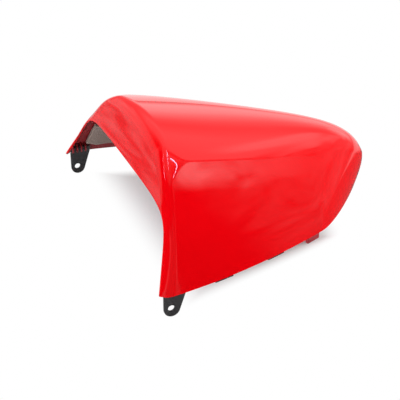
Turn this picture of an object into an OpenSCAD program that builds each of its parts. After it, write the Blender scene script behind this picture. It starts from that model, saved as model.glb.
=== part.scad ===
// Rear seat cowl of a motorcycle: one thin moulding open below and in front.
// Lengths are measured from the bracket holes towards the tail, heights from the
// surface that the cowl rests on. X is across, +Y is towards the tail, +Z is up.

/* [Hem] */
// Width over the hem at the bracket holes
hem_width = 301.5; // [284:0.5:320]
// Height of the hem above the surface that the cowl stands on
hem_height = 25; // [23:0.5:28]
// Length from the bracket holes back to the front of the side panels, at the hem
hem_setback = 3.5; // [1:0.5:5]
// How far the hem runs back before it turns in towards the tail
hem_knee_length = 172; // [158:1:180]
// Width over the hem where it turns in
hem_knee_width = 210; // [200:1:220]
// Length from the bracket holes to the hem at the tail tip
hem_length = 270; // [262:1:272]
// How much the hem draws in at the front, per length
hem_toe_in = 0.11; // [0.05:0.01:0.2]
// How much the hem draws in where it turns in, per length
hem_knee_toe_in = 0.41; // [0.34:0.01:0.5]
// Half width over which the hem rounds off at the tail tip
hem_tip_spread = 18; // [12:1:24]

/* [Shoulder crease] */
// Width between the two shoulder creases at the front
shoulder_width = 160.5; // [148:0.5:170]
// Length from the bracket holes back to the front of the creases
shoulder_setback = 25; // [22:1:30]
// Height of the creases at the front
shoulder_height = 117; // [111:0.5:122]
// Length from the bracket holes back to the tip of the tail
tail_length = 273; // [270:0.5:286]
// Height of the tail tip, where the two creases meet
tail_height = 41.5; // [38:0.5:47]
// How far the creases run straight back before they bend in
crease_run = 95; // [80:1:110]
// How much the creases draw in over that run
crease_toe_in = 0.5; // [0:0.5:6]
// How much the creases fall over that run
crease_fall = 16.5; // [10:0.5:22]
// Half width over which the creases round off at the tail
crease_tip_spread = 40; // [32:1:46]
// Height that the creases still have to fall there
crease_tip_rise = 17.5; // [12:0.5:22]
// How far the blend reaches on each side of the creases
crease_blend = 1.2; // [0.9:0.1:3]
// How far it reaches at the front corners, where top, side and front meet
corner_blend = 19; // [14:1:26]
// How far it reaches on the inside of the creases
inner_blend = 4; // [3.6:0.2:6]

/* [Top] */
// Height of the crown on the centre line at the front
crown_height = 128.5; // [124:0.5:134]
// Length from the bracket holes back to the front of the crown
crown_setback = 35.5; // [30:0.5:40]
// How far the centre line runs back before it falls to the tail
crown_run = 155; // [140:1:165]
// How much the centre line falls over that run
crown_fall = 41; // [34:1:46]
// Length of the final drop to the tail tip
tail_drop_length = 15.5; // [10:0.5:20]
// Height of the final drop to the tail tip
tail_drop_height = 51.5; // [44:0.5:56]
// Fullness of the crowned section, 1 for a roof and more for a flatter top
crown_power = 2.2; // [1.8:0.1:2.8]
// How far the side panels bow out between crease and hem, at the front
side_bow = 7.8; // [5:0.2:9]

/* [Front] */
// Height of the top of the front opening
arch_height = 86.5; // [83:0.5:90]
// Half width towards which the top of the opening runs before it turns down
arch_reach = 135.5; // [130:0.5:140]
// Length over which the edge of each leg straightens towards its foot
leg_reach = 74.5; // [68:0.5:80]
// Angle at which the edge of each leg meets the hem
leg_angle = 55; // [52:0.5:58]
// How far the front edge of each leg turns in from the hem
leg_turn_in = 5.5; // [4:0.5:7]
// How far the edge of each leg bows back behind the front plane
leg_bow = 1.1; // [0:0.1:2]
// Length from the bracket holes back to the top of the front opening
arch_setback = 8.7; // [6:0.1:11]
// Angle by which the front face leans back
front_rake = 18.3; // [16:0.1:20]
// Height of the sunk panel above the opening, on the centre line
panel_height = 33.5; // [28:0.5:35]
// Half width of the sunk panel where it runs out
panel_half_width = 99.8; // [96:0.2:102]
// Fullness of the panel's upper outline
panel_power = 2.7; // [2.3:0.1:3]
// Least width of the lip along the front edge of the legs
lip_width = 1; // [0.8:0.1:2]
// How steeply the rolled rim leaves the front face
rim_lift = 0.34; // [0.2:0.02:0.5]
// How far the rim bulges over the sunk panel
rim_overhang = 0.3; // [0:0.05:0.4]
// Fullness of the rim where it leaves the front face
rim_start = 0.49; // [0.3:0.01:0.6]
// Fullness of the rim where it joins the top
rim_end = 0.39; // [0.3:0.01:0.6]
// Fullness of the rim where it joins the side panels
leg_end = 0.55; // [0.4:0.01:0.65]

/* [Moulding] */
// Wall thickness of the moulding
wall = 3; // [2.6:0.1:3.4]
// Thickness to which the wall thins out at its front edge
edge_wall = 1.8; // [1.5:0.1:2.4]
// Thickness of the pocket fins that trap the brackets
fin_thickness = 1.6; // [1.2:0.1:2.2]
// Depth of the pocket fins
fin_depth = 2.6; // [2:0.2:3.6]
// Height of the hooks at the top of the pocket fins
fin_hook = 2; // [1.4:0.1:2.2]
// Height at which the pocket fins begin above the hem, along the leg
fin_start = 1.5; // [1:0.5:4]
// Distance from one pocket fin to the next
fin_pitch = 5.2; // [4.4:0.1:5.6]
// Number of pocket fins in each leg
fin_count = 4; // [3:1:4]
// Length from the bracket holes back to the hem beside the rear lugs
lug_setback = 175; // [168:1:184]
// Distance of the rear lugs from the hem, along the side panel
lug_inset = 23; // [18:1:26]
// Length of each rear lug
lug_length = 17.5; // [13:0.5:21]
// Thickness of each rear lug
lug_thickness = 4; // [3:0.5:6]

/* [Brackets] */
// Thickness of the steel brackets
bracket_thickness = 2.5; // [2:0.1:3]
// Diameter of the bracket holes
bracket_hole = 6.5; // [5:0.1:7]
// Height of the bracket holes
bracket_hole_height = 8.6; // [8:0.2:9.4]
// Radius of the rounded lower end
bracket_end_radius = 7.6; // [7:0.1:8.4]
// How far the middle of that end lies behind the hole
bracket_end_setback = 0.7; // [0:0.1:1.5]
// Angle of the sloping rear edge
bracket_rear_angle = 18.8; // [10:0.2:24]
// Greatest width of a bracket
bracket_width = 21.5; // [19:0.5:23]
// Length of the part that lies against the leg
bracket_seat_length = 10.5; // [8:0.5:11]

/* [Inner trim] */
// Length from the bracket holes back to the front of the foam pads
pad_setback = 6; // [5:0.5:12]
// Length of the foam pads
pad_length = 125; // [90:1:140]
// Part of the way down the side panel at which the pads begin
pad_top = 0.5; // [0.4:0.01:0.55]
// Part of the way down the side panel at which the pads end
pad_bottom = 0.815; // [0.75:0.005:0.82]
// Thickness of the foam pads
pad_thickness = 5; // [3:0.5:6]
// Length from the bracket holes back to the front edge strips
front_strip_setback = 42.5; // [36:0.5:50]
// Length from the bracket holes back to the rear edge strips
rear_strip_setback = 102; // [92:0.5:112]
// Length of the edge strips
strip_length = 19; // [12:1:24]
// Thickness of the rubber edge strips
strip_thickness = 3; // [2:0.5:4]
// How far the edge strips reach up the wall
strip_height = 4; // [3:0.5:6]
// How far the edge strips stand out below the hem
strip_reach = 1.2; // [0.8:0.1:2]
// Clearance between pieces that are seated on each other
seat_gap = 0.3; // [0.2:0.05:0.4]

/* [Hidden] */

paint = [0.84, 0.02, 0.04];
steel_black = [0.13, 0.13, 0.14];
foam_grey = [0.45, 0.40, 0.37];
rubber_black = [0.08, 0.08, 0.08];

// Grid of the moulding: columns from the centre line to the hem, rows from front to tail
top_cols = 12;
corner_cols = 4;
side_cols = 9;
cols = top_cols + corner_cols + side_cols;
panel_rows = 3;
roll_rows = 6;
body_rows = 30;
last_row = panel_rows + roll_rows + body_rows;
// Share of the body's length over which the front corner radius fades out
corner_fade = 0.14;
// Part of the way along the hem at which the knee lies
knee_share = 0.44;
// Greatest part of a panel that a crease's blend may take, and how far it pulls to the crease
most_cut = 0.8;
blend_pull = 0.6;
// Height of the sunk panel from which the rim bulges over it in full
overhang_from = 10;
// Part of each run of the hem over which it keeps its direction at the knee and at the front
knee_pull = 1 / 3;
tip_pull = 1 / 4;
// Small step for slopes, and how often a search halves its range
step = 0.01;
halvings = 24;
// Facets of the bracket holes, of the rounded bracket ends and of rounded edges
hole_facets = 48;
end_facets = 64;
edge_facets = 16;
// Steps of the foam pads and of the edge strips, along and down the side panel
pad_steps = [10, 4];
strip_steps = [3, 1];

function unit(v) = v / norm(v);
function flip(p) = [-p.x, p.y, p.z];
function mix(a, b, t) = a + (b - a) * t;
function hump(t) = 4 * t * (1 - t);
function bezier(a, b, c, d, t) =
    a * pow(1 - t, 3) + b * 3 * t * pow(1 - t, 2) + c * 3 * t * t * (1 - t) + d * pow(t, 3);

// Centre line of the top, from the front (0) to the tail tip (1)
crown_front = [0, crown_setback, crown_height];
tail_tip = [0, tail_length, tail_height];
function crown(s) = bezier(crown_front, crown_front + [0, crown_run, -crown_fall],
                           tail_tip + [0, -tail_drop_length, tail_drop_height], tail_tip, s);

// Shoulder crease on the right-hand side
shoulder = [shoulder_width / 2, shoulder_setback, shoulder_height];
function crease(s) = bezier(shoulder, shoulder + [-crease_toe_in, crease_run, -crease_fall],
                            tail_tip + [crease_tip_spread, 0, crease_tip_rise], tail_tip, s);

// Hem on the right-hand side: a long slightly bowed run, a knee and a rounded tail
hem_front = [hem_width / 2 - hem_toe_in * hem_setback, hem_setback, hem_height];
hem_knee = [hem_knee_width / 2, hem_knee_length, hem_height];
hem_tip = [0, hem_length, hem_height];
knee_slope = unit([-hem_knee_toe_in, 1, 0]);
hem_front_slope = [-hem_toe_in, 1, 0];
function hem(s) = s < knee_share
    ? bezier(hem_front, hem_front + hem_front_slope * knee_pull * (hem_knee_length - hem_setback),
             hem_knee - knee_slope * knee_pull * (hem_knee_length - hem_setback), hem_knee, s / knee_share)
    : bezier(hem_knee, hem_knee + knee_slope * tip_pull * (hem_length - hem_knee_length),
             hem_tip + [hem_tip_spread, 0, 0], hem_tip, (s - knee_share) / (1 - knee_share));

// One cross-section: crowned top from u = 0 to 1, side panel from w = 0 to 1
function crown_at(s, u) = let (a = crown(s), b = crease(s), t = pow(u, crown_power))
    [b.x * u, mix(a.y, b.y, t), mix(a.z, b.z, t)];
function outward(s) = let (t = crease(min(s + step, 1)) - crease(max(s - step, 0)))
    unit([t.y, -t.x, 0]);
function bow_at(s) = side_bow * (crease(s).z - hem_height) / (shoulder_height - hem_height);
function side_at(s, w) =
    mix(crease(s), hem(s), w) + outward(s) * bow_at(s) * hump(w);

// Share of the hem at which it lies a given length back from the bracket holes
function share_of(y, low = 0, high = 1, turns = halvings) =
    let (s = (low + high) / 2)
    turns == 0 ? s
    : hem(s).y < y ? share_of(y, s, high, turns - 1) : share_of(y, low, s, turns - 1);

function blend_at(s, blend) =
    blend + (corner_blend - blend) * pow(max(0, 1 - s / corner_fade), 2);
function section(s, blend) = let (
        top_len = norm(crease(s) - crown(s)),
        side_len = norm(hem(s) - crease(s)),
        top_cut = min(blend_at(s, blend), most_cut * top_len),
        side_cut = min(blend_at(s, blend), most_cut * side_len),
        u1 = top_len > 0 ? 1 - top_cut / top_len : 1,
        w1 = side_cut / side_len,
        a = crown_at(s, u1),
        d = side_at(s, w1),
        a_slope = top_len > 0 ? unit(a - crown_at(s, u1 - step)) : [0, 0, 0],
        d_slope = unit(d - side_at(s, w1 + step)),
        b = a + a_slope * top_cut * blend_pull,
        c = d + d_slope * side_cut * blend_pull)
    concat([for (j = [0 : top_cols - 1]) crown_at(s, u1 * j / top_cols)],
           [for (j = [0 : corner_cols - 1]) bezier(a, b, c, d, j / corner_cols)],
           [for (j = [0 : side_cols]) side_at(s, mix(w1, 1, j / side_cols))]);

// Edge of the front opening, from the centre line (0) to the foot of the leg (1)
leg_foot = [hem_width / 2 - leg_turn_in, hem_height];
leg_up = [-cos(leg_angle), sin(leg_angle)];
function front_y(z) = arch_setback + tan(front_rake) * (z - arch_height);
function arch(t) = let (
        p = bezier([0, arch_height], [arch_reach, arch_height], leg_foot + leg_up * leg_reach, leg_foot, t),
        h = (p.y - hem_height) / (arch_height - hem_height))
    [p.x, front_y(p.y) + leg_bow * hump(h), p.y];
arch_steps = 60;
arch_points = [for (n = [0 : arch_steps]) arch(n / arch_steps)];
arch_runs = [for (n = 0, d = 0; n <= arch_steps;
                  d = d + norm(arch_points[min(n + 1, arch_steps)] - arch_points[n]), n = n + 1) d];
arch_shares = [for (n = [0 : arch_steps]) [arch_runs[n] / arch_runs[arch_steps], n / arch_steps]];

// Outward direction in the front plane, and how far the sunk panel reaches that way
function arch_out(t) = let (
        a = arch(max(t - step, 0)),
        b = arch(min(t + step, 1)),
        out = unit([a.z - b.z, b.x - a.x]))
    [out.x, tan(front_rake) * out.y, out.y];
function panel_top(x) = arch_height + panel_height * (1 - pow(abs(x) / panel_half_width, panel_power));
function panel_reach(t, low = 0, high = 2 * panel_height, turns = halvings) = let (
        r = (low + high) / 2,
        p = arch(t) + arch_out(t) * r)
    turns == 0 ? r
    : p.z < panel_top(p.x) ? panel_reach(t, r, high, turns - 1) : panel_reach(t, low, r, turns - 1);

// Rows of the front face, from the edge of the opening up to the first section
first = section(0, crease_blend);
second = section(step, crease_blend);
run_to = [for (j = 0, d = 0; j <= cols; d = d + norm(first[min(j + 1, cols)] - first[j]), j = j + 1) d];
arch_at = [for (j = [0 : cols]) lookup(run_to[j] / run_to[cols], arch_shares)];
arch_edge = [for (j = [0 : cols]) arch(arch_at[j])];
panel_rise = [for (j = [0 : cols]) panel_reach(arch_at[j])];
panel_edge = [for (j = [0 : cols])
    arch_edge[j] + arch_out(arch_at[j]) * max(lip_width, panel_rise[j])];
function first_point(j) = j < 0 ? flip(first[-j]) : first[j];
function first_normal(j) = unit(cross(first_point(min(j + 1, cols)) - first_point(j - 1), second[j] - first[j]));
function roll(j, t) = let (
        a = panel_edge[j],
        d = first[j],
        reach = norm(d - a),
        above = min(panel_rise[j] / overhang_from, 1),
        lift = first_normal(j) * rim_lift + unit(d - a) * (1 - rim_lift) + [0, -rim_overhang * above, 0],
        b = a + unit(lift) * reach * rim_start,
        c = d + unit(d - second[j]) * reach * mix(leg_end, rim_end, above),
        p = bezier(a, b, c, d, t))
    [p.x, p.y, j < cols ? p.z : hem_height];

function half(blend) = concat(
    [for (i = [0 : panel_rows - 1]) mix(arch_edge, panel_edge, i / panel_rows)],
    [for (i = [0 : roll_rows - 1]) [for (j = [0 : cols]) roll(j, i / roll_rows)]],
    [for (i = [0 : body_rows]) section(i / body_rows, blend)]);
outer_half = half(crease_blend);
soft_half = half(inner_blend);

// Points of a grid and their normals; the last row is the seam on the centre plane
function at(g, i, k) = k < 0 ? flip(g[i][min(-k, cols)]) : g[i][min(k, cols)];
function slope_at(g, i, k) = unit(cross(at(g, i, k + 1) - at(g, i, k - 1),
                                        at(g, min(i + 1, last_row), k) - at(g, max(i - 1, 0), k)));
function normal(g, i, k) = i < last_row ? slope_at(g, i, k)
    : let (n = slope_at(g, last_row - 1, k)) unit([0, n.y, n.z]);
function level(n) = [n.x, n.y, 0] / (n.x * n.x + n.y * n.y);
function wall_at(i) = mix(edge_wall, wall, min(i / (panel_rows + roll_rows), 1));
function inner(i, k) = let (n = normal(soft_half, i, k))
    at(soft_half, i, k) - wall_at(i) * (abs(k) == cols ? level(n) : n);

// Every row has one point per column; the seam row has one per side column only
width = 2 * cols + 1;
seam = last_row * width;
nose_col = top_cols;
layer = seam + cols - nose_col + 1;
function id(i, k) = i < last_row ? i * width + k + cols : seam + max(abs(k) - nose_col, 0);
function tri(a, b, c) = a == b || b == c || a == c ? [] : [[a, b, c]];
function quad(a, b, c, d, turn) =
    turn ? concat(tri(a, b, c), tri(a, c, d)) : concat(tri(a, b, d), tri(b, c, d));

module moulding() {
    outside = concat([for (i = [0 : last_row - 1], k = [-cols : cols]) at(outer_half, i, k)],
                     [for (k = [nose_col : cols]) at(outer_half, last_row, k)]);
    inside = concat([for (i = [0 : last_row - 1], k = [-cols : cols]) inner(i, k)],
                    [for (k = [nose_col : cols]) inner(last_row, k)]);
    skin = [for (i = [0 : last_row - 1], k = [-cols : cols - 1])
        each quad(id(i, k), id(i, k + 1), id(i + 1, k + 1), id(i + 1, k), k >= 0)];
    front_edge = [for (k = [-cols : cols - 1])
        each quad(id(0, k + 1), id(0, k), id(0, k) + layer, id(0, k + 1) + layer, true)];
    hem_edge = [for (i = [0 : last_row - 1], k = [-cols, cols]) let (
            a = id(k > 0 ? i + 1 : i, k),
            b = id(k > 0 ? i : i + 1, k))
        each quad(a, b, b + layer, a + layer, true)];
    faces = concat(skin, [for (f = skin) [f[2] + layer, f[1] + layer, f[0] + layer]],
                   front_edge, hem_edge);
    polyhedron(concat(outside, inside), [for (f = faces) [f[2], f[1], f[0]]], convexity = 6);
}

// A bracket stands upright across its leg; the leg wall closes on it at its rear edge
leg_check = 0.8;
bracket_centre = bracket_end_setback;
bracket_front = bracket_centre - bracket_end_radius;
bracket_rear = bracket_front + bracket_width;
leg_low = side_at(share_of(bracket_rear), 1);
leg_high = side_at(share_of(bracket_rear), leg_check);
leg_lean = atan2(leg_low.x - leg_high.x, leg_high.z - leg_low.z);
bracket_x = leg_low.x - wall / cos(leg_lean) - seat_gap;

// Leg axes: x up along the leg wall, y inwards from it, seen from the tail
module in_leg() {
    translate([bracket_x, 0, hem_height]) rotate([90, 0, 0]) rotate(90 + leg_lean) children();
}

module bracket_profile() {
    t = bracket_thickness;
    bend = tan(leg_lean / 2) * t;
    polygon([[0, 0], [bracket_seat_length, 0], [bracket_seat_length, t], [-bend, t]]);
}

module bracket() {
    blank = 2 * bracket_width;
    reach = bracket_seat_length + bracket_thickness;
    difference() {
        intersection() {
            translate([0, bracket_rear, 0]) {
                in_leg() linear_extrude(blank) bracket_profile();
                translate([bracket_x - bracket_thickness, -blank, 0])
                    cube([bracket_thickness, blank, hem_height]);
            }
            translate([bracket_x - reach, 0, 0]) rotate([90, 0, 90])
                linear_extrude(reach + bracket_thickness) bracket_outline(hem_height + bracket_seat_length);
        }
        translate([bracket_x - 2 * bracket_thickness, 0, bracket_hole_height]) rotate([0, 90, 0])
            cylinder(h = 3 * bracket_thickness, d = bracket_hole, $fn = hole_facets);
    }
}

module bracket_outline(top) {
    r = bracket_end_radius;
    tangent = [bracket_centre + r * cos(bracket_rear_angle), r - r * sin(bracket_rear_angle)];
    knee_z = tangent.y + (bracket_rear - tangent.x) / tan(bracket_rear_angle);
    translate([bracket_centre, r]) circle(r, $fn = end_facets);
    polygon([[bracket_front, r], [bracket_centre, r], tangent, [bracket_rear, knee_z],
             [bracket_rear, top], [bracket_front + (top - hem_height) * tan(front_rake), top],
             [bracket_front, hem_height]]);
}

// Block with rounded edges: corners as [x, y, height]
module rounded_block(corners, r) {
    hull() for (p = corners) translate([p.x, p.y, 0]) cylinder(h = p.z, r = r, $fn = edge_facets);
}

// Hooked fins moulded on the leg wall; the bracket slides in behind them from below
fin_edge = 0.6;
module pocket_fins() {
    r = fin_edge;
    near = bracket_thickness + seat_gap + r;
    far = bracket_thickness + seat_gap + fin_depth - r;
    top = bracket_seat_length + seat_gap + r;
    root = 2 * r - seat_gap - wall;
    t = fin_thickness;
    first_fin = (bracket_front + bracket_rear) / 2 - (fin_count - 1) / 2 * fin_pitch;
    for (n = [0 : fin_count - 1])
        translate([0, first_fin + n * fin_pitch + t / 2, 0]) in_leg() {
            rounded_block([[fin_start, near, t], [fin_start, far, t],
                           [top + fin_hook, near, t], [top, far, t]], r);
            rounded_block([[top, near, t], [top + fin_hook, near, t],
                           [top + fin_hook, root, t], [top, root, t]], r);
        }
}

// Rear lugs: upright tongues under the side panels that reach down to the floor
lug_share = share_of(lug_setback);
lug_span = crease(lug_share) - hem(lug_share);
lug_drop = 1 - lug_inset / norm([lug_span.x, lug_span.y]);
function side_normal(s, w) = unit(cross(side_at(s, w - step) - side_at(s, w + step),
                                        side_at(s - step, w) - side_at(s + step, w)));
function under_side(s, w, depth) = side_at(s, w) - side_normal(s, w) * depth;

lug_edge = 1.2;
module rear_lug() {
    root = under_side(lug_share, lug_drop, wall / 2);
    along_hem = hem(lug_share + step) - hem(lug_share - step);
    heading = atan2(along_hem.y, along_hem.x);
    n = side_normal(lug_share, lug_drop);
    lean = norm([n.x, n.y]) / n.z;
    r = lug_edge;
    ends = [r - lug_length / 2, lug_length / 2 - r];
    translate([root.x, root.y, 0]) rotate(heading)
        rounded_block([for (x = ends) [x, r, root.z + r * lean],
                       for (x = ends) [x, lug_thickness - r, root.z + (lug_thickness - r) * lean]], r);
}

front_reach = front_y(hem_height);
tail_reach = max([for (row = outer_half, p = row) p.y]);
module centred() {
    translate([0, -(front_reach + tail_reach) / 2, 0]) children();
}

module both_sides() {
    children();
    mirror([1, 0, 0]) children();
}

module cowl_shell() {
    color(paint) centred() union() {
        moulding();
        both_sides() {
            pocket_fins();
            rear_lug();
        }
    }
}

module bracket_right() {
    color(steel_black) centred() bracket();
}

module bracket_left() {
    color(steel_black) mirror([1, 0, 0]) centred() bracket();
}

// Sheet laid on the inside of a side panel, between two sections and two heights
module liner(s0, s1, w0, w1, thickness, steps) {
    ns = steps[0];
    nw = steps[1];
    n = (ns + 1) * (nw + 1);
    points = [for (depth = [wall + seat_gap, wall + seat_gap + thickness], i = [0 : ns], j = [0 : nw])
        under_side(mix(s0, s1, i / ns), mix(w0, w1, j / nw), depth)];
    function p(i, j, l) = l * n + i * (nw + 1) + j;
    sheet = [for (i = [0 : ns - 1], j = [0 : nw - 1])
        each quad(p(i, j, 0), p(i, j + 1, 0), p(i + 1, j + 1, 0), p(i + 1, j, 0), true)];
    ends = [for (j = [0 : nw - 1], i = [0, ns])
        each quad(p(i, i > 0 ? j : j + 1, 0), p(i, i > 0 ? j + 1 : j, 0),
                  p(i, i > 0 ? j + 1 : j, 1), p(i, i > 0 ? j : j + 1, 1), true)];
    sides = [for (i = [0 : ns - 1], j = [0, nw])
        each quad(p(j > 0 ? i + 1 : i, j, 0), p(j > 0 ? i : i + 1, j, 0),
                  p(j > 0 ? i : i + 1, j, 1), p(j > 0 ? i + 1 : i, j, 1), true)];
    faces = concat(sheet, [for (f = sheet) [f[2] + n, f[1] + n, f[0] + n]], ends, sides);
    polyhedron(points, [for (f = faces) [f[2], f[1], f[0]]]);
}

module pad() {
    liner(share_of(pad_setback), share_of(pad_setback + pad_length), pad_top, pad_bottom, pad_thickness, pad_steps);
}

// Edge strips reach a little below the hem; heights count down the side panel from the hem
function strip_share(s, drop) = 1 + drop / (crease(s).z - hem_height);

module strip(setback) {
    s0 = share_of(setback);
    liner(s0, share_of(setback + strip_length), strip_share(s0, -strip_height),
          strip_share(s0, strip_reach), strip_thickness, strip_steps);
}

module pad_right() {
    color(foam_grey) centred() pad();
}

module pad_left() {
    color(foam_grey) mirror([1, 0, 0]) centred() pad();
}

module strip_front_right() {
    color(rubber_black) centred() strip(front_strip_setback);
}

module strip_front_left() {
    color(rubber_black) mirror([1, 0, 0]) centred() strip(front_strip_setback);
}

module strip_rear_right() {
    color(rubber_black) centred() strip(rear_strip_setback);
}

module strip_rear_left() {
    color(rubber_black) mirror([1, 0, 0]) centred() strip(rear_strip_setback);
}

cowl_shell();
bracket_left();
bracket_right();
pad_left();
pad_right();
strip_front_left();
strip_front_right();
strip_rear_left();
strip_rear_right();
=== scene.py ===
# A motorcycle's rear seat cowl on a pale studio floor, in metres. +X is across the cowl,
# +Y runs towards its tail and +Z is up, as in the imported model.
from math import atan2, cos, radians, sin, tan

import bmesh
import bpy
from mathutils import Matrix, Vector


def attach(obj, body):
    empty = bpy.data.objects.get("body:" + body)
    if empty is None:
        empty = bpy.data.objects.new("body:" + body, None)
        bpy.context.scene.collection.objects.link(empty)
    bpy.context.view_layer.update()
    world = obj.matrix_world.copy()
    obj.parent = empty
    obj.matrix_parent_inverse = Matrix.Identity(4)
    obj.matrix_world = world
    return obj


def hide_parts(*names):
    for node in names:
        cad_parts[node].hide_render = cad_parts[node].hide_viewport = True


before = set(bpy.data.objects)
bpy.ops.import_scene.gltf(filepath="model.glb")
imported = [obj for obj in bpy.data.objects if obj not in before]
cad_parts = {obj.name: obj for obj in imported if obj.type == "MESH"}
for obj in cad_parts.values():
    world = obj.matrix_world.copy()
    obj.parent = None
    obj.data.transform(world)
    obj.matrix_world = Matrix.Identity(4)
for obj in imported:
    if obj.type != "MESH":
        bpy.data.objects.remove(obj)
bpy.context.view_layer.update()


# The camera stands to the right of the cowl and above it, a little in front of its
# middle, and looks down on it with a long lens.
eye = bpy.data.cameras.new("eye")
eye.sensor_width = 36
eye.lens = 87.291
eye_stand = bpy.data.objects.new("eye", eye)
eye_stand.matrix_world = Matrix((
    (0.38591, -0.46127, 0.79894, 0.79009),
    (0.92253, 0.19295, -0.33420, -0.37353),
    (0.0, 0.86603, 0.5, 0.51597),
    (0, 0, 0, 1)))
bpy.context.collection.objects.link(eye_stand)
bpy.context.scene.camera = eye_stand


# The cowl is one thin moulding of red plastic, painted and lacquered outside. Its crowned
# top meets two side panels along a crease on each side, and its front is rolled inwards
# round a sunk panel and an arched opening. The underside is bare, with a satin grain,
# and its red is painted darker for the shade that falls inside the cowl.
MM = 0.001


def point(x, y, z):
    # Lengths run from the bracket holes back, in millimetres.
    return Vector((x, y - 130.825, z)) * MM


def span(x, y, z):
    return Vector((x, y, z)) * MM


def curve(a, b, c, d, t):
    return a * (1 - t) ** 3 + b * 3 * t * (1 - t) ** 2 + c * 3 * t * t * (1 - t) + d * t ** 3


def slide(a, b, t):
    return a + (b - a) * t


WALL, EDGE_WALL = 3 * MM, 1.8 * MM
HEM_FRONT, HEM_KNEE, HEM_TIP = point(150.365, 3.5, 25), point(105, 172, 25), point(0, 270, 25)
HEM_WAY, KNEE_WAY = Vector((-0.11, 1, 0)), Vector((-0.41, 1, 0)).normalized()
KNEE_SHARE = 0.44
SHOULDER, CROWN_FRONT, TAIL_TIP = point(80.25, 25, 117), point(0, 35.5, 128.5), point(0, 273, 41.5)


def crown(s):
    return curve(CROWN_FRONT, CROWN_FRONT + span(0, 155, -41), TAIL_TIP + span(0, -15.5, 51.5), TAIL_TIP, s)


def crease(s):
    return curve(SHOULDER, SHOULDER + span(-0.5, 95, -16.5), TAIL_TIP + span(40, 0, 17.5), TAIL_TIP, s)


def hem(s):
    if s < KNEE_SHARE:
        run = 168.5 * MM / 3
        return curve(HEM_FRONT, HEM_FRONT + HEM_WAY * run, HEM_KNEE - KNEE_WAY * run, HEM_KNEE, s / KNEE_SHARE)
    run = 98 * MM / 4
    return curve(HEM_KNEE, HEM_KNEE + KNEE_WAY * run, HEM_TIP + span(18, 0, 0), HEM_TIP,
                 (s - KNEE_SHARE) / (1 - KNEE_SHARE))


def top_point(s, u):
    middle, edge = crown(s), crease(s)
    t = max(u, 0) ** 2.2
    return Vector((edge.x * u, slide(middle.y, edge.y, t), slide(middle.z, edge.z, t)))


def side_point(s, w):
    way = crease(min(s + 0.01, 1)) - crease(max(s - 0.01, 0))
    out = Vector((way.y, -way.x, 0)).normalized()
    bow = 7.8 * MM * (crease(s).z - HEM_TIP.z) / (SHOULDER.z - HEM_TIP.z)
    return slide(crease(s), hem(s), w) + out * bow * 4 * w * (1 - w)


TOP_COLUMNS, BLEND_COLUMNS, SIDE_COLUMNS = 36, 10, 28
COLUMNS = TOP_COLUMNS + BLEND_COLUMNS + SIDE_COLUMNS


def section(s, blend):
    # One cross-section, from the centre line over the crease to the hem.
    reach = (blend + (19 - blend) * max(0, 1 - s / 0.07) ** 2) * MM
    top_length, side_length = (crease(s) - crown(s)).length, (hem(s) - crease(s)).length
    top_cut, side_cut = min(reach, 0.8 * top_length), min(reach, 0.8 * side_length)
    u = 1 - top_cut / top_length if top_length > 1e-6 else 1
    w = side_cut / side_length
    a, d = top_point(s, u), side_point(s, w)
    a_way = (a - top_point(s, u - 0.01)).normalized() if top_length > 1e-6 else Vector()
    d_way = (d - side_point(s, w + 0.01)).normalized()
    b, c = a + a_way * top_cut * 0.6, d + d_way * side_cut * 0.6
    return ([top_point(s, u * j / TOP_COLUMNS) for j in range(TOP_COLUMNS)]
            + [curve(a, b, c, d, j / BLEND_COLUMNS) for j in range(BLEND_COLUMNS)]
            + [side_point(s, slide(w, 1, j / SIDE_COLUMNS)) for j in range(SIDE_COLUMNS + 1)])


# The edge of the opening lies close to a plane that leans back, and runs in one sweep
# from the centre line over to the foot of the leg.
RAKE = tan(radians(18.3))
LEG_ANGLE = radians(55)
FOOT = Vector((145.25, 0, 25))
LEG_UP = Vector((-cos(LEG_ANGLE), 0, sin(LEG_ANGLE)))


def arch(t):
    p = curve(Vector((0, 0, 86.5)), Vector((135.5, 0, 86.5)), FOOT + LEG_UP * 74.5, FOOT, t)
    h = (p.z - 25) / 61.5
    return point(p.x, 8.7 + RAKE * (p.z - 86.5) + 1.1 * 4 * h * (1 - h), p.z)


def arch_out(t):
    way = arch(min(t + 0.01, 1)) - arch(max(t - 0.01, 0))
    out = Vector((-way.z, 0, way.x)).normalized()
    return Vector((out.x, RAKE * out.z, out.z))


def panel_reach(t):
    # How far the sunk panel stretches above the edge, found by halving.
    low, high = 0, 67 * MM
    for turn in range(30):
        middle = (low + high) / 2
        p = arch(t) + arch_out(t) * middle
        if p.z < (86.5 + 33.5 * (1 - (abs(p.x) / MM / 99.8) ** 2.7)) * MM:
            low = middle
        else:
            high = middle
    return low


def running(points):
    lengths = [0]
    for a, b in zip(points, points[1:]):
        lengths.append(lengths[-1] + (b - a).length)
    return [length / lengths[-1] for length in lengths]


PANEL_ROWS, ROLL_ROWS, BODY_ROWS = 10, 16, 120
first, second = section(0, 1.2), section(0.01, 1.2)
arch_shares = running([arch(n / 400) for n in range(401)])
arch_at = []
for share in running(first):
    n = next(n for n in range(401) if arch_shares[n] >= share - 1e-9)
    gap = arch_shares[n] - arch_shares[n - 1] if n else 1
    arch_at.append((n - (arch_shares[n] - share) / gap) / 400)
arch_edge = [arch(t) for t in arch_at]
panel_rise = [panel_reach(t) for t in arch_at]
panel_edge = [e + arch_out(t) * max(MM, r) for e, t, r in zip(arch_edge, arch_at, panel_rise)]


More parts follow.
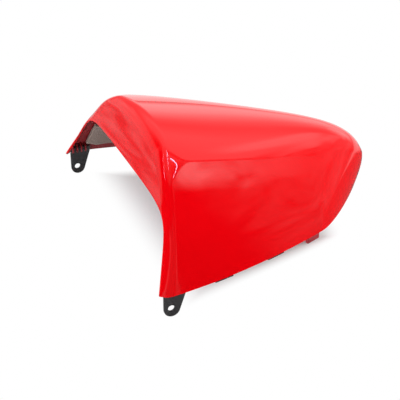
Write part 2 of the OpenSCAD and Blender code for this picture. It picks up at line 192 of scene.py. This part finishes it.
def roll_point(j, t):
    a, d = panel_edge[j], first[j]
    before = first[j - 1] if j else Vector((-first[1].x, first[1].y, first[1].z))
    after = first[min(j + 1, COLUMNS)]
    out = (after - before).cross(second[j] - d).normalized()
    above = min(panel_rise[j] / (10 * MM), 1)
    lift = (out * 0.34 + (d - a).normalized() * 0.66 + Vector((0, -0.3 * above, 0))).normalized()
    reach = (d - a).length
    pull = reach * slide(0.55, 0.39, above)
    p = curve(a, a + lift * reach * 0.49, d + (d - second[j]).normalized() * pull, d, t)
    return p if j < COLUMNS else Vector((p.x, p.y, HEM_TIP.z))


def rows(blend):
    front = [[slide(a, b, i / PANEL_ROWS) for a, b in zip(arch_edge, panel_edge)] for i in range(PANEL_ROWS)]
    roll = [[roll_point(j, i / ROLL_ROWS) for j in range(COLUMNS + 1)] for i in range(ROLL_ROWS)]
    return front + roll + [section(i / BODY_ROWS, blend) for i in range(BODY_ROWS + 1)]


def skin(blend):
    # A flat grid of faces, laid on the cowl's rows and closed along the tail.
    laid = rows(blend)
    last = len(laid) - 1
    made = bmesh.new()
    bmesh.ops.create_grid(made, x_segments=2 * COLUMNS, y_segments=last, size=1)
    depth = made.verts.layers.float.new("depth")
    for v in made.verts:
        k, i = round(v.co.x * COLUMNS), round((v.co.y + 1) / 2 * last)
        place = laid[i][abs(k)]
        v[depth] = slide(EDGE_WALL, WALL, min(i / (PANEL_ROWS + ROLL_ROWS), 1))
        v.co = (0 if i == last else place.x if k > 0 else -place.x, place.y, place.z)
    bmesh.ops.remove_doubles(made, verts=made.verts, dist=0.00001)
    made.normal_update()
    if max(made.faces, key=lambda f: f.calc_center_median().z).normal.z < 0:
        bmesh.ops.reverse_faces(made, faces=made.faces)
    made.normal_update()
    return made, depth


def finished(name, shape, *finishes):
    # Turns a bmesh into an object at the origin.
    mesh = bpy.data.meshes.new(name)
    shape.to_mesh(mesh)
    shape.free()
    for face in mesh.polygons:
        face.use_smooth = True
    made = bpy.data.objects.new(name, mesh)
    bpy.context.collection.objects.link(made)
    for finish in finishes:
        mesh.materials.append(finish)
    return made


def modify(piece, kind, **settings):
    made = piece.modifiers.new(kind.lower(), kind)
    for name, value in settings.items():
        setattr(made, name, value)
    return made


class Wire:
    """A socket in a material's tree. Sums on it add Math nodes."""

    def __init__(self, tree, socket=None):
        self.tree, self.socket = tree, socket

    def add(self, kind, settings=None, inputs=None, out=0):
        made = self.tree.nodes.new(kind)
        for name, value in (settings or {}).items():
            if name == "stops":
                ramp = made.color_ramp
                while len(ramp.elements) < len(value):
                    ramp.elements.new(0.5)
                for element, (place, colour) in zip(ramp.elements, value):
                    element.position = place
                    element.color = (*colour, 1)
            else:
                setattr(made, name, value)
        for name, value in (inputs or {}).items():
            if isinstance(value, Wire):
                self.tree.links.new(value.socket, made.inputs[name])
            else:
                made.inputs[name].default_value = value
        return Wire(self.tree, made.outputs[out] if made.outputs else None)

    def maths(self, operation, *values):
        return self.add("ShaderNodeMath", {"operation": operation}, dict(enumerate(values)))

    def __add__(self, other):
        return self.maths("ADD", self, other)

    def __sub__(self, other):
        return self.maths("SUBTRACT", self, other)

    def __rsub__(self, other):
        return self.maths("SUBTRACT", other, self)

    def __mul__(self, other):
        return self.maths("MULTIPLY", self, other)

    __radd__ = __add__
    __rmul__ = __mul__


def new_finish(name):
    made = bpy.data.materials.new(name)
    made.use_nodes = True
    made.node_tree.nodes.clear()
    return made, Wire(made.node_tree)


def lit(wire, **sockets):
    # Feeds one Principled shader; a name's underscores stand for spaces.
    named = {name.replace("_", " "): value for name, value in sockets.items()}
    shader = wire.add("ShaderNodeBsdfPrincipled", None, named)
    wire.add("ShaderNodeOutputMaterial", None, {"Surface": shader})


paint, w = new_finish("red_lacquer")
spot = w.add("ShaderNodeTexCoord", out="Object")
cloud = w.add("ShaderNodeTexNoise", None, {"Vector": spot, "Scale": 14, "Detail": 3})
peel = w.add("ShaderNodeTexNoise", None, {"Vector": spot, "Scale": 70, "Detail": 1})
swirl = w.add("ShaderNodeTexNoise", None, {"Vector": spot, "Scale": 60, "Detail": 6})
red = w.add("ShaderNodeMix", {"data_type": "RGBA"},
            {0: cloud, 6: (0.59, 0.0004, 0.0020, 1), 7: (0.66, 0.0010, 0.0035, 1)}, out=2)
orange_peel = w.add("ShaderNodeBump", None, {"Strength": 0.02, "Distance": 0.0003, "Height": peel})
lit(w, Base_Color=red, Roughness=0.02 + swirl * 0.03, Normal=orange_peel)

# The satin grain is the bare plastic's own. The darker red is painted shade for the inside of the cowl and its fins.
bare_with_painted_shade, w = new_finish("red_bare_plastic_painted_shade")
spot = w.add("ShaderNodeTexCoord", out="Object")
cloud = w.add("ShaderNodeTexNoise", None, {"Vector": spot, "Scale": 22, "Detail": 4})
grain = w.add("ShaderNodeTexNoise", None, {"Vector": spot, "Scale": 900, "Detail": 2})
red = w.add("ShaderNodeMix", {"data_type": "RGBA"},
            {0: cloud, 6: (0.24, 0.008, 0.012, 1), 7: (0.31, 0.012, 0.017, 1)}, out=2)
satin = w.add("ShaderNodeBump", None, {"Strength": 0.25, "Distance": 0.0003, "Height": grain})
lit(w, Base_Color=red, Roughness=0.42 + grain * 0.16, Normal=satin)

# The outside and the underside are two skins, joined round their rims.
shape, depth = skin(1.2)
under, depth = skin(4)
level = {v: Vector((v.normal.x, v.normal.y, 0)) / (v.normal.x ** 2 + v.normal.y ** 2)
         for v in under.verts if abs(v.co.z - HEM_TIP.z) < 1e-6}
moved = {v: v.co - level.get(v, v.normal) * v[depth] for v in under.verts}
for v, place in moved.items():
    v.co = place
bmesh.ops.reverse_faces(under, faces=under.faces)
for face in under.faces:
    face.material_index = 1
lining = bpy.data.meshes.new("lining")
under.to_mesh(lining)
under.free()
shape.from_mesh(lining)
bpy.data.meshes.remove(lining)
rim = [e for e in shape.edges if e.is_boundary]
bmesh.ops.bridge_loops(shape, edges=rim)
for face in shape.faces:
    face.smooth = True
corners = [e for e in shape.edges if e in set(rim)]
bmesh.ops.bevel(shape, geom=corners, offset=0.45 * MM, segments=3, profile=0.5,
                affect="EDGES", material=-1, clamp_overlap=True)
fold = {tuple(round(c, 6) for c in p) for p, r in zip(panel_edge, panel_rise) if r > 2 * MM}
for edge in shape.edges:
    if all((round(abs(v.co.x), 6), round(v.co.y, 6), round(v.co.z, 6)) in fold for v in edge.verts):
        edge.smooth = False
cowl = finished("cowl_moulding", shape, paint, bare_with_painted_shade)
modify(cowl, "WEIGHTED_NORMAL", keep_sharp=True)
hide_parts("cowl_shell")
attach(cowl, "root")


# Four hooked fins are moulded in each leg. They trap the bracket, which slides in behind
# them from below.
LEAN = radians(26.102)
LEG_FRAME = Matrix(((-sin(LEAN), -cos(LEAN), 0, 145.36 * MM),
                    (0, 0, -1, -130.825 * MM),
                    (cos(LEAN), -sin(LEAN), 0, 25 * MM),
                    (0, 0, 0, 1)))
for side in (1, -1):
    shape = bmesh.new()
    for n in range(4):
        y = 1.9 + (n - 1.5) * 4.7
        seat = -1.2 if n == 0 else -2.7
        profile = [(5.4, 2.8), (5.4, 5.4), (10.8, 5.4), (13.4, 2.8), (13.4, seat), (10.8, seat), (10.8, 2.8)]
        flat = [shape.verts.new((x * MM, d * MM, -(y + 0.8) * MM)) for x, d in profile]
        face = shape.faces.new(flat)
        grown = bmesh.ops.extrude_face_region(shape, geom=[face])
        raised = [g for g in grown["geom"] if isinstance(g, bmesh.types.BMVert)]
        bmesh.ops.translate(shape, verts=raised, vec=(0, 0, 1.6 * MM))
    bmesh.ops.recalc_face_normals(shape, faces=shape.faces)
    bmesh.ops.bevel(shape, geom=shape.edges[:], offset=0.3 * MM, segments=2, profile=0.5,
                    affect="EDGES", material=-1, clamp_overlap=True)
    bmesh.ops.transform(shape, matrix=LEG_FRAME, verts=shape.verts)
    if side < 0:
        bmesh.ops.scale(shape, vec=(-1, 1, 1), verts=shape.verts)
    bmesh.ops.recalc_face_normals(shape, faces=shape.faces)
    # The fins take the bare red, which is darkened as painted shade.
    fins = finished("pocket_fins_right" if side > 0 else "pocket_fins_left", shape, bare_with_painted_shade)
    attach(fins, "root")


# The rear lugs are upright tongues moulded under the side panels. They are bare plastic,
# chalky from the mould, and stand on the floor.
chalky, w = new_finish("chalky_red_plastic")
spot = w.add("ShaderNodeTexCoord", out="Object")
cloud = w.add("ShaderNodeTexNoise", None, {"Vector": spot, "Scale": 160, "Detail": 4})
red = w.add("ShaderNodeMix", {"data_type": "RGBA"},
            {0: cloud, 6: (0.46, 0.035, 0.045, 1), 7: (0.58, 0.075, 0.090, 1)}, out=2)
dust = w.add("ShaderNodeBump", None, {"Strength": 0.2, "Distance": 0.0002, "Height": cloud})
lit(w, Base_Color=red, Roughness=0.5 + cloud * 0.2, Normal=dust)
for side in (1, -1):
    shape = bmesh.new()
    bmesh.ops.create_cube(shape, size=1)
    bmesh.ops.scale(shape, vec=(17.5 * MM, 4 * MM, 54 * MM), verts=shape.verts)
    bmesh.ops.translate(shape, vec=(0, 2 * MM, 27 * MM), verts=shape.verts)
    for v in shape.verts:
        if v.co.z > 50 * MM and v.co.y > 2 * MM:
            v.co.z += 2.6 * MM
    bmesh.ops.bevel(shape, geom=shape.edges[:], offset=1.1 * MM, segments=3, profile=0.5,
                    affect="EDGES", material=-1, clamp_overlap=True)
    turn = Matrix.Rotation(atan2(16.5, -6.7), 4, "Z")
    bmesh.ops.transform(shape, matrix=Matrix.Translation(point(84.22, 174.8, 0)) @ turn, verts=shape.verts)
    if side < 0:
        bmesh.ops.scale(shape, vec=(-1, 1, 1), verts=shape.verts)
        bmesh.ops.reverse_faces(shape, faces=shape.faces)
    lug = finished("rear_lug_right" if side > 0 else "rear_lug_left", shape, chalky)
    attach(lug, "root")


# The steel brackets are pressed from 2.5 mm sheet, coated satin black, and pushed up
# behind the fins in each leg.
black, w = new_finish("black_coated_steel")
spot = w.add("ShaderNodeTexCoord", out="Object")
cloud = w.add("ShaderNodeTexNoise", None, {"Vector": spot, "Scale": 90, "Detail": 5})
grain = w.add("ShaderNodeTexNoise", None, {"Vector": spot, "Scale": 1400, "Detail": 2})
coat = w.add("ShaderNodeMix", {"data_type": "RGBA"},
             {0: cloud, 6: (0.029, 0.029, 0.030, 1), 7: (0.044, 0.044, 0.045, 1)}, out=2)
powder = w.add("ShaderNodeBump", None, {"Strength": 0.2, "Distance": 0.0002, "Height": grain})
lit(w, Base_Color=coat, Roughness=0.34 + cloud * 0.2, Normal=powder)


def copied(node):
    # A CAD node's triangles, merged into one clean mesh.
    made = bmesh.new()
    made.from_mesh(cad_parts[node].data)
    bmesh.ops.remove_doubles(made, verts=made.verts, dist=0.00001)
    bmesh.ops.dissolve_limit(made, angle_limit=radians(1), verts=made.verts, edges=made.edges)
    return made


for node in ("bracket_left", "bracket_right"):
    shape = copied(node)
    sharp = [e for e in shape.edges if e.is_manifold and e.calc_face_angle() > radians(35)]
    bmesh.ops.bevel(shape, geom=sharp, offset=0.0003, segments=2, profile=0.5,
                    affect="EDGES", material=-1, clamp_overlap=True)
    bracket = finished(node + "_steel", shape, black)
    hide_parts(node)
    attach(bracket, "root")


# The foam pads are die-cut from dense grey-brown sheet and glued inside the side panels.
foam, w = new_finish("grey_brown_foam")
spot = w.add("ShaderNodeTexCoord", out="Object")
cloud = w.add("ShaderNodeTexNoise", None, {"Vector": spot, "Scale": 35, "Detail": 4})
cells = w.add("ShaderNodeTexVoronoi", None, {"Vector": spot, "Scale": 1100})
tone = w.add("ShaderNodeMix", {"data_type": "RGBA"},
             {0: cloud, 6: (0.22, 0.175, 0.145, 1), 7: (0.30, 0.245, 0.205, 1)}, out=2)
pores = w.add("ShaderNodeBump", None, {"Strength": 0.5, "Distance": 0.0005, "Height": cells})
lit(w, Base_Color=tone, Roughness=0.82 + cells * 0.15, Normal=pores)

for node in ("pad_left", "pad_right"):
    shape = copied(node)
    low = min(v.co.z for v in shape.verts)
    for v in shape.verts:
        if v.co.z < low + 4 * MM:
            v.co.z -= 2.4 * MM
            v.co.x += 1.1 * MM if v.co.x > 0 else -1.1 * MM
    sharp = [e for e in shape.edges if e.is_manifold and e.calc_face_angle() > radians(35)]
    bmesh.ops.bevel(shape, geom=sharp, offset=0.0012, segments=3, profile=0.5,
                    affect="EDGES", material=-1, clamp_overlap=True)
    pad = finished(node + "_foam", shape, foam)
    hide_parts(node)
    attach(pad, "root")


# The edge strips are short lengths of black rubber pressed on inside the hem.
rubber, w = new_finish("black_rubber")
spot = w.add("ShaderNodeTexCoord", out="Object")
cloud = w.add("ShaderNodeTexNoise", None, {"Vector": spot, "Scale": 120, "Detail": 4})
skin = w.add("ShaderNodeMix", {"data_type": "RGBA"},
             {0: cloud, 6: (0.014, 0.014, 0.015, 1), 7: (0.032, 0.031, 0.031, 1)}, out=2)
matt = w.add("ShaderNodeBump", None, {"Strength": 0.15, "Distance": 0.0002, "Height": cloud})
lit(w, Base_Color=skin, Roughness=0.6 + cloud * 0.2, Normal=matt)

for node in ("strip_front_left", "strip_front_right", "strip_rear_left", "strip_rear_right"):
    shape = copied(node)
    front = min(v.co.y for v in shape.verts)
    for v in shape.verts:
        v.co.y += 8.7 * MM if node == "strip_front_left" and v.co.y < front + 3 * MM else 2.7 * MM
        v.co.x -= 0.6 * MM if v.co.x > 0 else -0.6 * MM
        if v.co.z < HEM_TIP.z:
            v.co.z -= 1.4 * MM if v.co.x > 0 else -0.9 * MM
    sharp = [e for e in shape.edges if e.is_manifold and e.calc_face_angle() > radians(35)]
    bmesh.ops.bevel(shape, geom=sharp, offset=0.0005, segments=2, profile=0.5,
                    affect="EDGES", material=-1, clamp_overlap=True)
    strip = finished(node + "_rubber", shape, rubber)
    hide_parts(node)
    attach(strip, "root")


# The floor is a white sweep that keeps the cowl's soft shadow and fades to plain white.
# The lacquer mirrors it dimmer and streaked, as it shows in the sunk front panel.
white, w = new_finish("white_floor")
spot = w.add("ShaderNodeTexCoord", out="Object")
x = w.add("ShaderNodeSeparateXYZ", None, {0: spot}, out=0)
y = w.add("ShaderNodeSeparateXYZ", None, {0: spot}, out=1)
beside = 0.110 - y * 0.262 - w.maths("ABSOLUTE", x)
within = w.maths("MINIMUM", w.maths("MINIMUM", beside, 0.5 * y + 0.06), 0.5 * (0.085 - y))
shade = w.add("ShaderNodeMapRange", {"interpolation_type": "SMOOTHSTEP"},
              {"Value": within, "From Min": 0.0, "From Max": 0.022})
deep = w.add("ShaderNodeMapRange", None,
             {"Value": y, "From Min": -0.13, "From Max": -0.02, "To Min": 0.42, "To Max": 0.95})
shade = shade * deep
long = w.add("ShaderNodeVectorMath", {"operation": "MULTIPLY"}, {0: spot, 1: (3, 9, 1)})
streaks = w.add("ShaderNodeTexNoise", None, {"Vector": long, "Scale": 1.8, "Detail": 2, "Distortion": 1.4})
ahead = w.add("ShaderNodeMapRange", None, {"Value": y, "From Min": 0.0, "From Max": -0.15})
far = w.add("ShaderNodeMapRange", None, {"Value": x, "From Min": -0.06, "From Max": -0.16})
glaze = ahead * w.maths("MAXIMUM", 1.6 * streaks - 0.45, 0.18) + (1 - ahead) * (0.16 + 0.79 * far)
seen = w.add("ShaderNodeLightPath", out="Is Camera Ray")
mirrored = w.add("ShaderNodeLightPath", out="Is Glossy Ray")
bright = 1 - mirrored * (1 - glaze)
diffuse = w.add("ShaderNodeBsdfDiffuse", None, {"Color": (0.92, 0.92, 0.92, 1)})
glow = w.add("ShaderNodeEmission", None, {"Color": (1, 1, 1, 1), "Strength": bright})
cover = w.add("ShaderNodeMixShader", None, {0: w.maths("MAXIMUM", (1 - shade) * seen, mirrored), 1: diffuse, 2: glow})
w.add("ShaderNodeOutputMaterial", None, {"Surface": cover})
shape = bmesh.new()
bmesh.ops.create_grid(shape, x_segments=2, y_segments=2, size=4)
floor = finished("floor", shape, white)


# A white tent stands behind the cowl and over it, open to a dark room on the camera's side.
# The lacquer mirrors the tent with its folds and slanting edge, and a few slim lamps.
def lamp(name, place, aim, width, height, power):
    made = bpy.data.lights.new(name, "AREA")
    made.shape = "RECTANGLE"
    made.size, made.size_y = width, height
    made.energy = power
    stand = bpy.data.objects.new(name, made)
    turn = (Vector(place) - Vector(aim)).to_track_quat("Z", "Y").to_matrix().to_4x4()
    stand.matrix_world = Matrix.Translation(place) @ turn
    bpy.context.collection.objects.link(stand)
    return stand


for name, place, size, power in (("ceiling", (-0.3, 0.6, 2.4), 2.8, 82),
                                 ("front_fill", (-0.3, -2.5, 0.8), 1.5, 38),
                                 ("rear_fill", (0.3, 2.6, 0.9), 1.5, 34)):
    lamp(name, place, (0, 0, 0.05), size, size, power).visible_glossy = False

for number, start, end in ((1, (-0.85, -0.75), (-0.31, -2.3)),
                           (2, (-0.95, 0.72), (0.25, -0.15)),
                           (3, (-0.20, 0.46), (0.80, 0.66))):
    start, end = Vector((*start, 2)), Vector((*end, 2))
    tube = lamp(f"tube_{number}", (start + end) / 2, (start + end) / 2 - Vector((0, 0, 1)),
                (end - start).length, 0.04, 4 * (end - start).length)
    tube.rotation_euler.z = atan2(end.y - start.y, end.x - start.x)
    tube.data.color = (0.82, 0.68, 1.0)

room = bpy.data.worlds.new("room")
bpy.context.scene.world = room
room.use_nodes = True
room.node_tree.nodes.clear()
w = Wire(room.node_tree)
way = w.add("ShaderNodeTexCoord", out="Generated")
long = w.add("ShaderNodeVectorMath", {"operation": "MULTIPLY"}, {0: way, 1: (1.6, 0.7, 2.6)})
folds = w.add("ShaderNodeTexNoise", None, {"Vector": long, "Scale": 2.4, "Detail": 3, "Distortion": 1.8})
sway = w.add("ShaderNodeTexNoise", None, {"Vector": long, "Scale": 1.6, "Detail": 2}, out="Color")
bent = w.add("ShaderNodeVectorMath", {"operation": "MULTIPLY_ADD"}, {0: sway, 1: (0.2, 0.2, 0.2), 2: way})


def toward(x, y, z, low, high):
    # 0 to 1 as a direction turns towards (x, y, z).
    facing = w.add("ShaderNodeVectorMath", {"operation": "DOT_PRODUCT"}, {0: bent, 1: (x, y, z)}, out="Value")
    return w.add("ShaderNodeMapRange", {"interpolation_type": "SMOOTHSTEP"},
                 {"Value": facing, "From Min": low, "From Max": high})


inside = toward(-0.662, 0.147, 0.735, 0.28, 0.39) * w.maths(
    "MAXIMUM", toward(-0.5, 0.866, 0, 0.03, 0.33), toward(-0.866, 0.5, 0, 0.25, 0.55))
gap = 1 - 0.9 * toward(0.05, 0.1, 1.0, 0.93, 1.03)
slit = toward(1, 0, 0, -0.30, -0.20) * (1 - toward(1, 0, 0, 0.12, 0.20)) * toward(0, 0, 1, 0.62, 0.72)
seam = toward(1, 0, 0, -0.10, -0.06) * (1 - toward(1, 0, 0, 0.03, 0.07)) * toward(0, 0, 1, 0.40, 0.44)
height = toward(0, 0, 1, 0.45, 0.68)
haze = toward(0, 0, 1, 0.06, 0.20) * (1 - toward(0, 0, 1, 0.25, 0.45)) * toward(-0.8, 0.6, 0, 0.80, 0.92)
patch = toward(-0.5, 0.8, 0.33, 1.025, 1.06)
corner = toward(0.36, 0.50, 0.79, 1.08, 1.16)
pleats = 1 + toward(0.8, 0, 0.6, 0.55, 0.75) * (3 * folds - 1.5)
bright = 0.36 + height * 0.36 + haze * 0.75 + patch * 0.45 + corner * 1.1
tent = inside * gap * (1 - 0.8 * slit) * (1 - 0.8 * seam) * bright * pleats
backdrop = toward(-0.707, 0.707, 0, 0.05, 0.36) * 0.3 * (3 * folds - 0.5)
near_wall = toward(-0.866, -0.5, 0.1, 0.76, 0.84) * 0.47 + toward(-0.15, -0.1, 0.98, 0.88, 1.02) * 0.35


def between(value, low, high, soft):
    # 1 inside a range and 0 outside it, with soft ends.
    rise = w.add("ShaderNodeMapRange", None, {"Value": value, "From Min": low - soft, "From Max": low})
    fall = w.add("ShaderNodeMapRange", None, {"Value": value, "From Min": high, "From Max": high + soft})
    return rise * (1 - fall)


east, north, up = (w.add("ShaderNodeSeparateXYZ", None, {0: way}, out=n) for n in range(3))
turn = w.maths("ARCTAN2", north, east)
over = w.maths("MAXIMUM", up - 0.4, 0)
frame_edge = turn - 0.5 - 3.2 * over * over
lower = w.add("ShaderNodeMapRange", None, {"Value": up, "From Min": 0.15, "From Max": 0.42, "To Min": 0.2, "To Max": 0.6})
doorway = (between(turn, -0.6, 0.40, 0.15) * 0.11 + between(frame_edge, -0.010, 0.010, 0.008) * lower
           + between(turn, -0.92, -0.74, 0.08) * 0.45) * (1 - toward(0, 0, 1, 0.78, 0.86)) * toward(0, 0, 1, 0.12, 0.22)
seen = w.add("ShaderNodeLightPath", out="Is Camera Ray")
through = w.add("ShaderNodeLightPath", out="Is Transmission Ray")
mirrored = w.add("ShaderNodeLightPath", out="Is Glossy Ray")
clear = w.maths("MAXIMUM", seen, through)
level = w.maths("MAXIMUM", clear, mirrored * w.maths("MAXIMUM", tent, backdrop + near_wall + doorway) + (1 - mirrored) * 0.4)
sky = w.add("ShaderNodeBackground", None, {"Color": (1, 1, 1, 1), "Strength": level})
w.add("ShaderNodeOutputWorld", None, {"Surface": sky})

bpy.context.scene.view_settings.view_transform = "Standard"
